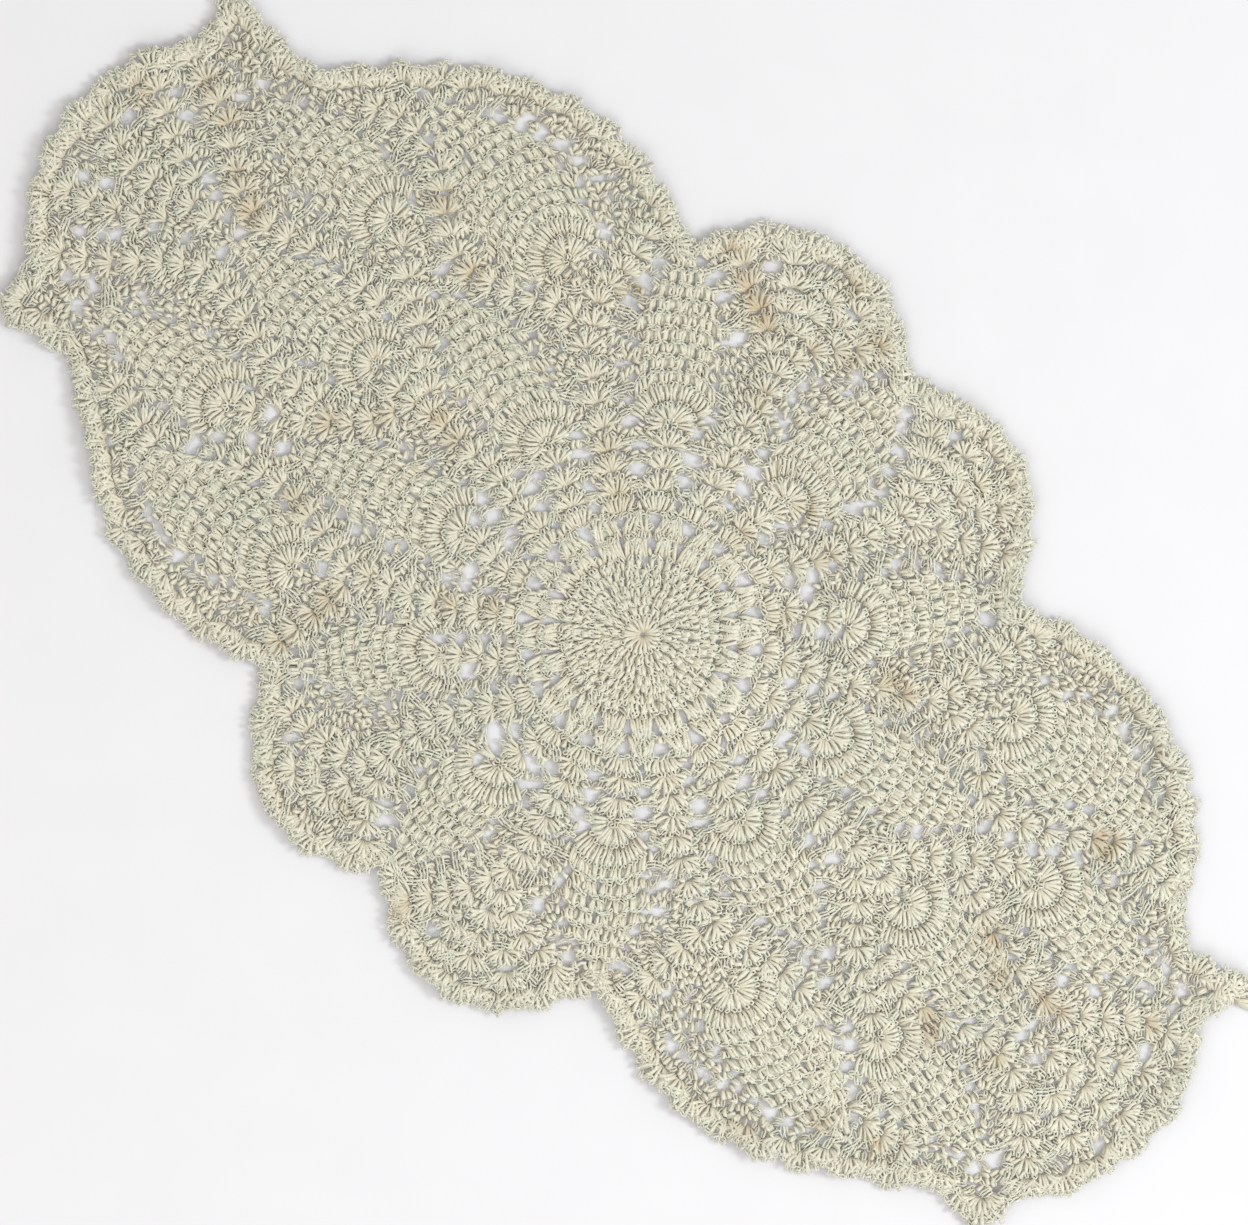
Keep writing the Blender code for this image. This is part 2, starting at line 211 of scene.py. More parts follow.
# A known fault: these places come from a program that found holes in the photo, and a script
# should hold no such table. The table can be emptied with no other edit needed.
FOUND_HOLES = {
    (3.6, 2.6): ((-50.2, 114.2),),
    (3.6, 2.4): ((-21.8, 121.3),),
    (3.6, 2.2): ((-10.9, 62.7),),
    (3.4, 2.4): ((-54.1, 28.2), (3.5, -53.4), (23.7, -48.0), (29.8, 115.5)),
    (3.4, 2.0): ((-55.7, 96.3), (-42.9, 90.9)),
    (3.2, 2.4): ((-218.6, 19.8),),
    (3.2, 2.2): ((-8.3, 56.3), (50.9, -26.2), (197.8, -42.9), (5.1, -60.5), (-54.1, -21.4),
        (25.0, -54.4), (-31.7, -46.4), (56.6, 7.0), (29.4, 46.7), (56.0, -12.5), (11.8, 109.8),
        (-12.8, -53.8)),
    (3.2, 2.0): ((-62.1, 98.9), (-140.5, 92.2)),
    (3.0, 2.2): ((16.6, -113.9), (43.8, -107.5), (107.2, 16.3)),
    (3.0, 2.0): ((-123.5, -35.8), (43.2, -23.4), (20.2, -42.2), (-36.8, 37.4), (-65.9, -4.2),
        (-48.6, 47.0), (-18.6, -99.8), (-42.2, 43.2), (-59.5, -5.8)),
    (3.0, 1.8): ((-68.5, 100.5), (-77.4, 82.9), (-76.8, 75.5), (-126.1, 96.0), (-133.1, 93.8),
        (131.5, 33.3)),
    (2.8, 2.0): ((176.3, -4.8),),
    (2.8, 1.8): ((-77.8, 89.9), (195.5, -49.3), (55.0, -90.6), (-132.8, -40.0), (-201.9, -48.3),
        (109.4, -38.4), (48.6, -89.0), (152.6, 73.3), (203.2, 37.1), (55.4, -29.8),
        (-30.7, 58.6), (-58.9, 13.8), (36.8, -85.1), (-21.8, -94.7), (-52.5, -4.5),
        (-226.2, 23.0), (-30.7, 65.0), (-121.6, 33.3), (77.8, 81.3), (-59.5, 31.7),
        (113.6, -31.7), (209.0, 15.0)),
    (2.6, 1.8): ((-180.8, 3.8), (-180.8, -3.8), (-232.6, 7.4), (-190.1, -31.0), (-194.9, 6.7)),
    (2.6, 1.6): ((60.8, -92.2), (-149.1, 50.2), (-211.5, 36.5), (196.2, 30.1), (-209.6, -22.7),
        (84.8, -77.4), (68.8, -80.6)),
    (2.4, 1.6): ((-146.2, 71.4),),
}
# these were read off one by one
HOLES = {
    (3.0, 1.8): ((122.6, 31.7), (138.2, 36.5)),
    (3.0, 1.6): ((-6.4, 107.2),),
    (3.0, 1.5): ((18.9, 99.8),),
    (3.0, 1.4): ((21.8, 92.8),),
    (2.8, 1.8): ((149.4, 44.8), (134.4, -44.8)),
    (2.8, 1.7): ((134.4, -82.2),),
    (2.6, 1.8): ((143.0, 41.0), (175.0, 13.1), (119.4, -39.0), (139.5, -48.6), (143.0, -53.8),
        (149.4, -58.9)),
    (2.6, 1.7): ((61.4, -51.5), (65.9, -59.8), (-110.1, 24.6), (-126.4, 40.6), (-144.0, -30.4),
        (-134.4, -30.4), (-57.0, -100.8), (-145.9, -53.1), (-141.4, -47.4)),
    (2.6, 1.6): ((176.3, -9.9), (185.0, -11.2), (141.8, -80.6), (-203.2, -40.6)),
    (2.6, 1.5): ((97.6, -87.0), (103.7, -87.7), (111.4, -87.4), (119.0, -85.8), (-110.4, 96.6),
        (-118.4, 96.6)),
    (2.6, 1.4): ((-14.4, 98.2), (-16.6, 88.3)),
    (2.6, 1.3): ((24.3, 86.7), (25.0, 82.2)),
    (2.4, 1.8): ((184.6, 17.3),),
    (2.4, 1.6): ((136.6, 56.0), (142.4, 58.2), (195.8, 38.4), (206.4, 30.7), (218.9, -16.0),
        (94.7, -9.3), (84.5, -8.6), (-87.4, -55.0), (-92.2, -76.2), (-205.4, 12.8),
        (-200.3, 9.6), (-187.8, 5.8), (-192.6, -8.6), (-202.2, -14.4), (-212.8, -25.6),
        (-218.2, -30.4), (-223.4, -13.4), (14.0, 105.0)),
    (2.4, 1.5): ((126.4, 86.4), (132.8, 84.8), (140.8, 83.2), (-139.5, -81.0), (-132.8, -82.6),
        (-124.8, -84.8), (-148.2, 88.0), (-96.0, 85.8), (-94.4, 79.0), (-170.2, 77.8),
        (-165.4, -74.2), (-209.3, 44.8), (-194.9, 49.0), (-1.6, 112.6)),
    (2.4, 1.4): ((18.6, 66.2), (-16.0, 80.6), (-12.2, 69.4)),
    (2.4, 1.2): ((-16.6, 93.1),),
    (2.2, 1.5): ((131.8, 51.8),),
    (2.2, 1.4): ((204.8, -49.6), (-230.4, -16.0), (-211.2, -43.2)),
    (2.2, 1.2): ((23.0, 77.1),),
}
# holes on the spokes (turn 0) and between them (0.5): turn, radius, half across, half along
SPOKE_HOLES = ((0.0, 29.6, 1.3, 1.6), (0.0, 37.0, 2.3, 2.5), (0.5, 43.6, 1.6, 1.1),
               (0.5, 50.4, 2.7, 1.9), (0.5, 57.9, 3.0, 2.1), (0.5, 64.6, 2.4, 1.8))
FLANK_HOLE = (1.7, 0.9)       # the small holes beside each pineapple
CELL_HOLE = (0.4, 0.8)        # the gap inside one loop of a pineapple
CELL_BACKED = 0.7             # share of those gaps that have a back behind them
HOLE_SCALE = 0.96             # size of the holes in the table, times the numbers there
HOLE_SPREAD = (0.75, 1.1)     # least and greatest size of the spoke holes, likewise
HOLE_MARGINS = (0.15, 0.35)   # room kept free of posts and of chains around a hole
FILL_MARGIN = 0.65            # room kept free of filling stitches
BACK_MARGIN = 0.9             # room kept free of backs
NEAR_HOLE = 6.0               # no hole with its room reaches further than this


def named(columns, rows):
    return [dict(zip(columns, row)) for row in rows]


# ---- stitches, in plan

rng = np.random.default_rng(7460)
posts = []        # rows of x0, y0, x1, y1: one double crochet post
chains = []       # the same for one chain stitch
filled = []       # the same for short loops worked into what is left
strands = []      # the same for short posts worked into what is left
wraps = []        # the same for backs alone, across the cells of a pineapple
flank_holes = []  # rows of x, y, heading, half length across, half length along
cell_holes = []   # the same
anchors = []      # dictionaries: where a rope of chains may start or end


def polar(angle, radius):
    return np.array((math.cos(angle), math.sin(angle))) * radius


def lengths_along(points):
    """How far along the line each of its points lies."""
    return np.concatenate(([0.0], np.cumsum(np.hypot(*np.diff(points, axis=0).T))))


def post(start, end):
    posts.append((start[0], start[1], end[0], end[1]))


def rope(points, pitch=CHAIN_PITCH):
    """A run of chain stitches along a polyline."""
    points = np.asarray(points, float)
    along = lengths_along(points)
    count = max(1, round(along[-1] / pitch))
    at = np.linspace(0.0, along[-1], count + 1)
    x, y = np.interp(at, along, points[:, 0]), np.interp(at, along, points[:, 1])
    for i in range(count):
        chains.append((x[i], y[i], x[i + 1], y[i + 1]))


def anchor(point, angle, owner, kind):
    anchors.append({"at": np.asarray(point, float), "angle": angle, "owner": owner,
                    "kind": kind, "used": 0})


def head(tip, angle, size=1.45):
    """The loop on top of a stitch."""
    lean = angle + rng.normal(0, 0.42)
    start = tip - polar(lean, 0.75)
    end = start + polar(lean, size * rng.uniform(0.85, 1.15))
    chains.append((start[0], start[1], end[0], end[1]))


def shell(base, heading, owner, legs=8, length=LEG, degrees=140.0, root=2.2):
    """A shell of posts out of one chain space, with its row of tops."""
    base = np.asarray(base, float)
    side = polar(heading + math.pi / 2, 1.0)
    tips = []
    for i in range(legs):
        t = i / (legs - 1) - 0.5
        angle = heading + math.radians(degrees) * t + rng.normal(0, 0.07)
        start = base + side * (t * root)
        tip = start + polar(angle, length * (1.0 - 0.08 * (2 * t) ** 2) * rng.uniform(0.88, 1.08))
        post(start, tip)
        head(tip, angle)
        if i % 2 and length > 5.0:
            head(start + (tip - start) * 0.72 + polar(angle + math.pi / 2, 0.75), angle, 1.3)
        tips.append(tip)
    for end, sign in ((tips[0], -1), (tips[-1], 1)):
        anchor(end, heading + sign * math.radians(75), owner, "shell")
    return tips


def column(name, bases):
    """One shell on each base, each heading on along the column."""
    bases = [np.asarray(b, float) for b in bases]
    for i, base in enumerate(bases):
        ahead = bases[i + 1] - base if i + 1 < len(bases) else base - bases[i - 1]
        behind = base - bases[i - 1] if i else ahead
        way = ahead / np.hypot(*ahead) + behind / np.hypot(*behind)
        shell(base, math.atan2(way[1], way[0]), f"{name}_{i}", legs=8 + (i % 2))


def pineapple(p):
    """Fan, round of separate posts, then rows of chain loops narrowing to the tip."""
    base, tip = np.array((p["bx"], p["by"])), np.array((p["tx"], p["ty"]))
    axis = math.atan2(tip[1] - base[1], tip[0] - base[0])
    length = float(np.hypot(*(tip - base)))
    fan = 15
    for i in range(fan):
        t = i / (fan - 1) - 0.5
        angle = axis + math.radians(200) * t + rng.normal(0, 0.03)
        tip = base + polar(angle, FAN_REACH * rng.uniform(0.94, 1.03))
        post(base + polar(angle, 1.2), tip)
        head(tip, angle, 1.2)
    for i in range(fan + 7):
        t = i / (fan + 6) - 0.5
        angle, lean = axis + math.radians(168) * t, axis + math.radians(150) * t
        tip = base + polar(lean, RING_REACH)
        post(base + polar(angle, FAN_REACH + 0.8), tip)
        head(tip, angle, 1.2)
        if i % 2:
            head(base + polar(angle, FAN_REACH + rng.uniform(1.6, 3.6)), angle, 1.5)
    for i in range(5):
        head(base + polar(axis + (i - 2) * 0.9, 1.2), axis + (i - 2) * 0.9, 1.2)
    for sign in (-1, 1):
        anchor(base + polar(axis + sign * math.radians(100), FAN_REACH * 0.9),
               axis + sign * math.radians(105), p["name"], "flank")
        anchor(base + polar(axis + sign * math.radians(74), RING_REACH),
               axis + sign * math.radians(95), p["name"], "flank")
    rows = max(4, round((length - RING_REACH) / LOOP_ROW))
    count = round(p["width"] / LOOP_PITCH)
    for k in range(rows):
        reach = RING_REACH + 0.3 + k * (length - RING_REACH) / rows
        left = rows - k
        if k:
            count = count - 1 if count >= min(left, round(p["width"] / LOOP_PITCH)) else count + 1
        count = max(1, count)
        half = count * LOOP_PITCH / 2
        for i in range(count):
            middle = -half + (i + 0.5) * LOOP_PITCH

            def at(across, up, middle=middle, reach=reach):
                radius = reach + up
                return base + polar(axis + (middle + across) / radius, radius)
            for sign in (-1, 1):
                wander = rng.normal(0, 0.22, 4)
                post(at(2.5 * sign + wander[0], -0.3), at(1.85 * sign + wander[1], 3.9))
                post(at(1.5 * sign + wander[2], 0.0), at(1.15 * sign + wander[3] / 2, 3.6))
            rise = rng.normal(0, 0.18)
            rope([at(-2.6, 3.2), at(-1.2, 4.2 + rise), at(1.2, 4.3 - rise), at(2.6, 3.2)], 1.5)
            rope([at(-1.5, 4.9), at(0.0, 4.6), at(1.5, 4.9)], 1.6)
            if rng.random() < CELL_BACKED:
                wraps.append((*at(0.0, -0.3), *at(rng.normal(0, 0.3), 4.2)))
            cell_holes.append((*at(0.0, 1.7), axis + middle / reach, *CELL_HOLE))
        for sign in (-1, 1):
            edge = base + polar(axis + sign * (half - 0.6) / (reach + 3), reach + 3)
            anchor(edge, axis + sign * (math.pi / 2 - 0.1), p["name"], "flank")
            spot = base + polar(axis + sign * (half + 2.6) / (reach + 1), reach + 1)
            flank_holes.append((*spot, axis, *FLANK_HOLE))
    anchor(base + polar(axis, length), axis, p["name"], "tip")


CENTRE_POSTS = 22     # posts of the medallion's first round
ROUNDS = 6            # its further rounds of forked posts
ROUND_START, ROUND_PITCH = 6.4, 3.1    # radius of the first of these, and from one to the next
FORK_PITCH = 1.4      # from one forked post to the next
# half of one spoke's posts in two rows: degrees from its middle at root and tip, radius of both
SPOKE_POSTS = ((0.7, 3.6, 25.4, 31.6), (2.4, 5.6, 25.8, 31.8), (4.6, 7.2, 25.6, 31.6),
               (7.2, 8.7, 25.6, 31.8), (0.6, 4.4, 32.0, 38.2), (2.2, 6.0, 32.2, 38.8),
               (4.4, 7.4, 32.0, 38.6), (7.2, 8.7, 32.0, 38.8))


def medallion():
    """Close rounds in the middle, then the spokes with their two rows of gaps and their fans."""
    turn = 2 * math.pi / SPOKES
    for i in range(CENTRE_POSTS):
        angle = i * 2 * math.pi / CENTRE_POSTS + rng.normal(0, 0.03)
        tip = polar(angle, 6.0 * rng.uniform(0.92, 1.06))
        post(polar(angle, 0.9), tip)
        head(tip, angle, 1.2)
    for k in range(ROUNDS):
        inner = ROUND_START + ROUND_PITCH * k
        count = round(2 * math.pi * (inner + 0.8) / FORK_PITCH)
        for i in range(count):
            angle = (i + 0.5 * (k % 2)) * 2 * math.pi / count + rng.normal(0, 0.02)
            fork = 0.45 if i % 2 else -0.45
            tip = polar(angle, inner + 2.9 * rng.uniform(0.9, 1.1)) + polar(angle + fork * 3, 0.35)
            post(polar(angle + rng.normal(0, 0.03), inner - 0.3), tip)
            head(tip, angle + fork + rng.normal(0, 0.35), 1.7)
    for s in range(SPOKES):
        spoke = s * turn

        def at(degrees, radius, spoke=spoke):
            return polar(spoke + math.radians(degrees), radius)
        for low, high, inner, outer in SPOKE_POSTS:
            for sign in (-1, 1):
                tip = at(high * sign + rng.normal(0, 0.5), outer + rng.normal(0, 0.5))
                post(at(low * sign + rng.normal(0, 0.4), inner), tip)
                head(tip, spoke + math.radians(high * sign) + rng.normal(0, 0.35), 1.7)
                middle = (tip + at(low * sign, inner)) / 2 + rng.normal(0, 0.5, 2)
                if high > 4.0:
                    head(middle, spoke + rng.choice((-0.7, 0.7)), 1.6)
        for degrees in np.linspace(-9.0, 9.0, 8):
            spot = at(degrees, 40.0 + rng.normal(0, 0.4))
            head(spot, spoke + math.radians(degrees) + math.pi / 2 + rng.normal(0, 0.5), 1.6)
            spot = at(degrees + 1.0, 32.0 + rng.normal(0, 0.8))
            if abs(degrees) > 2.4:
                head(spot, spoke + math.radians(degrees) + rng.choice((-0.8, 0.8)), 1.7)
        for i in range(8):
            t = i / 7 - 0.5
            tip = at(13.0 * t, 45.2 - 1.2 * (2 * t) ** 2)
            post(at(7.6 * t, 40.0), tip)
            head(tip, spoke + math.radians(30 * t))
        for sign in (-1, 1):
            anchor(at(6.6 * sign, 44.4), spoke + sign * math.radians(75), f"fan_{s}", "shell")


FIRST_PINEAPPLES = 10      # the pineapples that stand on the medallion's spokes


def odd_spokes():
    """The short spokes that carry the first pineapples."""
    for p in named(PINEAPPLE_COLUMNS, PINEAPPLES)[:FIRST_PINEAPPLES]:
        base = np.array((p["bx"], p["by"]))
        nominal = math.radians(18 + 36 * round((math.degrees(math.atan2(base[1], base[0])) - 18)
                                               / 36))
        start = polar(nominal, 46.4)
        n = max(2, round((np.hypot(*(base - start))) / ROW))
        column("spoke_" + p["name"], [start + (base - start) * i / n for i in range(n)])


def lobe_edge(lobe, following, steps=240):
    """The lobe's edge as points, from its notch to the next one's."""
    start = np.array((lobe["notch_x"], lobe["notch_y"]))
    chord = np.array((following["notch_x"], following["notch_y"])) - start
    outward = np.array((chord[1], -chord[0])) / np.hypot(*chord)
    t = np.linspace(0.0, 1.0, steps + 1)
    s = t ** lobe["lean"]
    bulge = (4 * s * (1 - s)) ** lobe["fullness"] * lobe["rise"]
    return start + chord * t[:, None] + outward * bulge[:, None]


def edge_shells():
    """A shell for each scallop of the edge, in turn longer and shorter."""
    lobes = named(LOBE_COLUMNS, LOBES)
    for k, lobe in enumerate(lobes):
        points = lobe_edge(lobe, lobes[(k + 1) % len(lobes)])
        along = lengths_along(points)
        count = max(2, round(along[-1] / SCALLOP))
        way = np.gradient(points, axis=0)
        way /= np.hypot(way[:, 0], way[:, 1])[:, None]
        inward = np.stack((-way[:, 1], way[:, 0]), 1)
        for i in range(count):
            at = (i + 0.5) * along[-1] / count
            j = int(np.searchsorted(along, at))
            normal = inward[max(0, j - 6):j + 7].mean(0)
            base = points[j] + normal * EDGE_DEPTH
            heading = math.atan2(-normal[1], -normal[0])
            far = 1.0 if i % 2 == 0 else -0.75
            base = base - normal * (far * 0.6 + rng.normal(0, 0.45))
            tips = shell(base, heading + rng.normal(0, 0.08), f"edge_{k}_{i}", legs=7,
                         length=(5.7 + 0.65 * far) * rng.uniform(0.94, 1.06),
                         degrees=112.0 + 12 * far, root=3.8)
            for a, b in zip(tips, tips[1:]):
                middle = (a + b) / 2 + rng.normal(0, 0.2, 2)
                across = math.atan2(*(b - a)[::-1]) + rng.normal(0, 0.5)
                head(middle + polar(across, 0.2), across, 1.6)
            anchor(base + normal * 0.9, heading + math.pi, f"edge_{k}_{i}", "edge")


def outline(steps=60):
    """The whole edge as points, without its scallops."""
    lobes = named(LOBE_COLUMNS, LOBES)
    return np.concatenate([lobe_edge(lobe, lobes[(k + 1) % len(lobes)], steps)[:-1]
                           for k, lobe in enumerate(lobes)])


def rim_distance(x, y, block=4000):
    """How far each point lies from the edge, worked out a block of points at a time."""
    edge, out = outline(), np.empty(len(x))
    for i in range(0, len(x), block):
        away = np.hypot(x[i:i + block, None] - edge[:, 0], y[i:i + block, None] - edge[:, 1])
        out[i:i + block] = away.min(1)
    return out


def crosses(a, b, c, d):
    """Whether the stretch from a to b crosses the one from c to d."""
    def side(p, q, r):
        return (q[0] - p[0]) * (r[1] - p[1]) - (q[1] - p[1]) * (r[0] - p[0])
    return side(a, b, c) * side(a, b, d) < 0 and side(c, d, a) * side(c, d, b) < 0


# which anchors are joined, in turn: from, to and the longest rope
LINKS = (("flank", ("shell",), 9.0), ("shell", ("shell", "flank"), 9.5),
         ("edge", ("shell", "flank"), 9.0), ("tip", ("edge", "shell"), 10.0),
         ("shell", ("edge",), 8.5))
LINK_CONE = math.radians(62)      # how far a rope may turn from its anchor's own heading


def link_anchors():
    """Ropes of chains between the tops of shells, the pineapples' flanks and the edge."""
    made = []
    spots = np.array([a["at"] for a in anchors])

    def candidates(i, kinds, far, cone):
        a = anchors[i]
        away = spots - a["at"]
        dist = np.hypot(away[:, 0], away[:, 1])
        found = []
        for j in np.argsort(dist):
            b = anchors[j]
            if dist[j] > far:
                break
            if dist[j] < 2.0 or b["owner"] == a["owner"] or b["kind"] not in kinds:
                continue
            if b["used"] > 1 or b["owner"].rsplit("_", 1)[0] == a["owner"].rsplit("_", 1)[0]:
                continue
            turn = math.atan2(away[j][1], away[j][0]) - a["angle"]
            back = math.atan2(-away[j][1], -away[j][0]) - b["angle"]
            if math.cos(turn) < math.cos(cone) or math.cos(back) < math.cos(cone + 0.4):
                continue
            found.append(j)
        return found

    def join(i, j):
        a, b = anchors[i], anchors[j]
        if any(crosses(a["at"], b["at"], c, d) for c, d in made):
            return False
        made.append((a["at"], b["at"]))
        a["used"] += 1
        b["used"] += 1
        way = b["at"] - a["at"]
        side = np.array((-way[1], way[0])) / np.hypot(*way)
        middle = (a["at"] + b["at"]) / 2 + side * rng.normal(0, 0.8)
        for shift in (0.55, -0.55):
            rope([p + side * shift for p in (a["at"], middle, b["at"])])
        return True

    for start, kinds, far in LINKS:
        for i, a in enumerate(anchors):
            if a["kind"] != start or a["used"]:
                continue
            for j in candidates(i, kinds, far, LINK_CONE):
                if join(i, j):
                    break


def all_holes():
    """Every hole as x, y, heading of the rows there, half length across and along."""
    table = named(HOLE_COLUMNS, [size + place for holes in (FOUND_HOLES, HOLES)
                                 for size, places in holes.items() for place in places])
    found = []
    for turn, radius, across, along in SPOKE_HOLES:
        for s in range(SPOKES):
            angle = (s + turn) * 2 * math.pi / SPOKES
            x, y = polar(angle, radius)
            if turn == 0 or min(math.hypot(h["x"] - x, h["y"] - y) for h in table) > 4.0:
                size = rng.uniform(*HOLE_SPREAD)
                found.append((x, y, angle, across * size, along * size))
    rows = np.array(posts)
    middles, ways = (rows[:, :2] + rows[:, 2:]) / 2, rows[:, 2:] - rows[:, :2]
    for h in table:
        near = np.argsort(np.hypot(middles[:, 0] - h["x"], middles[:, 1] - h["y"]))[:14]
        way = ways[near].sum(0)
        found.append((h["x"], h["y"], math.atan2(way[1], way[0]), h["across"] * HOLE_SCALE,
                      h["along"] * HOLE_SCALE))
    found += flank_holes
    return np.array(found)


def in_holes(x, y, holes, margin):
    """Whether each point lies in a hole that is larger by the margin on each side."""
    out = np.zeros(len(x), bool)
    for hx, hy, heading, across, along in holes:
        near = np.nonzero(np.hypot(x - hx, y - hy) < NEAR_HOLE)[0]
        u = (x[near] - hx) * math.cos(heading) + (y[near] - hy) * math.sin(heading)
        v = -(x[near] - hx) * math.sin(heading) + (y[near] - hy) * math.cos(heading)
        out[near] |= (u / (along + margin)) ** 2 + (v / (across + margin)) ** 2 < 1.0
    return out


def inside(x, y, edge):
    """Whether each point lies inside the outline."""
    out = np.zeros(len(x), bool)
    for (ax, ay), (bx, by) in zip(edge, np.roll(edge, -1, 0)):
        hit = (ay > y) != (by > y)
        out ^= hit & (x < ax + (y - ay) * (bx - ax) / (by - ay if by != ay else 1e-9))
    return out


def clear_holes(holes):
    """Takes out the stitches that lie right across a hole."""
    for rows, margin in zip((posts, chains), HOLE_MARGINS):
        table = np.array(rows)
        middle = (table[:, :2] + table[:, 2:]) / 2
        keep = ~in_holes(middle[:, 0], middle[:, 1], holes, margin)
        rows[:] = [row for row, kept in zip(rows, keep) if kept]


FILL_X, FILL_Y = (-249, 231), (-130, 138)    # the outline lies within these
FILL_STEP = 0.8                   # pitch of the places that are tried
FILL_CLEAR = (1.45, 1.2, 1.07)    # room that a stitch needs around it, in three goes
FILL_RIM, FILL_CENTRE = 1.8, 6.0  # no stitch nearer to the edge or to the medallion's middle
CROSSWISE, LOOPED = 0.15, 0.45    # share of stitches turned a quarter, and share that are loops


def fill(holes, edge):
    """Stitches worked into whatever the rows leave open, apart from the holes."""
    cell = 1.6        # not under any of FILL_CLEAR, so that one cell around is enough
    buckets = {}

    def add(row, count=4):
        for t in np.linspace(0.0, 1.0, count):
            x, y = row[0] + (row[2] - row[0]) * t, row[1] + (row[3] - row[1]) * t
            buckets.setdefault((int(x // cell), int(y // cell)), []).append((x, y))

    for row in posts + chains:
        add(row)
    xs, ys = np.meshgrid(np.arange(*FILL_X, FILL_STEP), np.arange(*FILL_Y, FILL_STEP))
    x = (xs + rng.uniform(-0.3, 0.3, xs.shape)).ravel()
    y = (ys + rng.uniform(-0.3, 0.3, ys.shape)).ravel()
    rim = rim_distance(x, y)
    good = inside(x, y, edge) & (rim > FILL_RIM) & (np.hypot(x, y) > FILL_CENTRE)
    good &= ~in_holes(x, y, holes, FILL_MARGIN)
    x, y = x[good], y[good]
    order = rng.permutation(len(x))
    table = np.array(posts)
    middles, ways = (table[:, :2] + table[:, 2:]) / 2, table[:, 2:] - table[:, :2]
    ways = ways / np.hypot(ways[:, 0], ways[:, 1])[:, None]
    for clear in FILL_CLEAR:
        for i in order:
            px, py = x[i], y[i]
            cx, cy = int(px // cell), int(py // cell)
            near = [q for a in (-1, 0, 1) for b in (-1, 0, 1)
                    for q in buckets.get((cx + a, cy + b), ())]
            if any((q[0] - px) ** 2 + (q[1] - py) ** 2 < clear * clear for q in near):
                continue
            close = np.argpartition((middles[:, 0] - px) ** 2 + (middles[:, 1] - py) ** 2, 4)[:4]
            way = ways[close].sum(0)
            angle = math.atan2(way[1], way[0]) + rng.normal(0, 0.35)
            if rng.random() < CROSSWISE:
                angle += math.pi / 2
            looped = rng.random() < LOOPED
            half = polar(angle, rng.uniform(0.75, 1.05) if looped else rng.uniform(1.2, 1.7))
            row = (px - half[0], py - half[1], px + half[0], py + half[1])
            (filled if looped else strands).append(row)
            add(row)


def lay_out():
    """Fills the lists of stitches and returns the holes."""
    medallion()
    odd_spokes()
    for name, bases in COLUMNS.items():
        column(name, bases)
    for p in named(PINEAPPLE_COLUMNS, PINEAPPLES):
        pineapple(p)
    edge_shells()
    link_anchors()
    holes = all_holes()
    clear_holes(holes)
    fill(np.concatenate((holes, cell_holes)), outline())
    return holes


# ---- thread geometry

def add_object(name, data):
    made = bpy.data.objects.new(name, data)
    bpy.context.scene.collection.objects.link(made)
    return made



POST_KNOTS = 4        # points along a post
CHAIN_REACH = 1.45    # a chain stitch's length, as a multiple of its pitch
CHAIN_WIDTH = 0.54    # half width of its loop, between strand middles
CHAIN_LEVEL = 1.30    # its height over the table
CHAIN_LEAST = 1.7     # least of that length
CHAIN_SHADE = 0.15     # its share of the painted shade colour
FILL_SINK = 0.3       # how much lower the filling loops lie, and how much more painted shade they get as they lie lower
LOW, HIGH = 0.62, 1.50                  # height of a post at its root and at its highest
FOOT_SHADE = np.array((0.0, 0.0, 0.25, 0.25))    # more painted shade on a post's underside, in the creases between posts
POST_ROOT_SHADE = 0.75                        # painted shade at a post's root, where the legs meet
BACK_LEVEL = np.array((0.36, 0.95))     # height of a post's back at its root and its tip
BACK_HALF, BACK_WIDE = 0.24, 5.6        # half its thickness, and its width over that
BACK_SHADE = 0.2                         # its share of painted shade, as it lies under the posts
CHAIN_SHAPE = (       # along, across, up: one loop of a chain, tail to head and back
    (-0.12, 0.0, -0.30), (0.35, 0.95, 0.0), (0.95, 0.6, 0.25),
    (0.95, -0.6, 0.25), (0.35, -0.95, 0.0),
)

# brown-gold spots, most at the roots of shells: partly stain where the cotton has aged, partly
# painted shade where the legs meet; radius and strength, then x and y
STAIN_AND_SHADE_SPOTS = {
    (5.0, 1.0): ((-46.0, 103.0),),
    (5.0, 0.9): ((148.8, 8.0), (-183.4, 11.8)),
    (5.0, 0.8): ((159.0, 2.0),),
    (5.0, 0.7): ((-141.4, 56.6), (-109.4, -44.8), (-77.4, 78.4)),
    (5.0, 0.6): ((-235.2, 16.0),),
    (5.0, 0.5): ((-97.6, 67.2),),
    (4.0, 0.9): ((174.1, 4.8), (-39.0, 100.5), (-54.0, 106.0)),
    (4.0, 0.8): ((68.2, 44.8), (-95.0, 6.4), (-119.4, 47.0), (-193.9, 17.6)),
    (4.0, 0.7): ((75.0, 45.1), (151.4, -24.0), (155.5, -28.2), (148.5, -73.0), (166.4, -65.3),
        (1.6, 46.4), (30.4, 34.6), (25.6, 58.6), (-108.8, -8.0), (-118.7, -19.2), (-80.0, -59.8),
        (-80.6, -66.6), (-81.9, -80.6), (-209.6, 28.8), (-220.8, 31.4), (-64.0, 110.4),
        (-35.8, 27.2), (-49.6, 35.8), (-52.8, -34.2), (-41.6, -25.6), (205.4, 22.7),
        (-12.0, 110.0)),
    (4.0, 0.6): ((175.4, -20.2), (-85.8, 3.2), (4.8, -116.8), (-30.4, -104.0), (133.1, -90.9)),
    (4.0, 0.5): ((9.6, 66.2),),
    (3.6, 1.1): ((152.6, 55.0),),
    (3.6, 0.9): ((-10.6, 120.0),),
    (3.6, 0.7): ((-28.0, 128.6),),
    (3.6, 0.6): ((-24.0, 104.0), (-25.0, 80.0)),
    (3.0, 1.1): ((154.9, 52.8),),
    (3.0, 0.7): ((180.5, 5.1),),
}


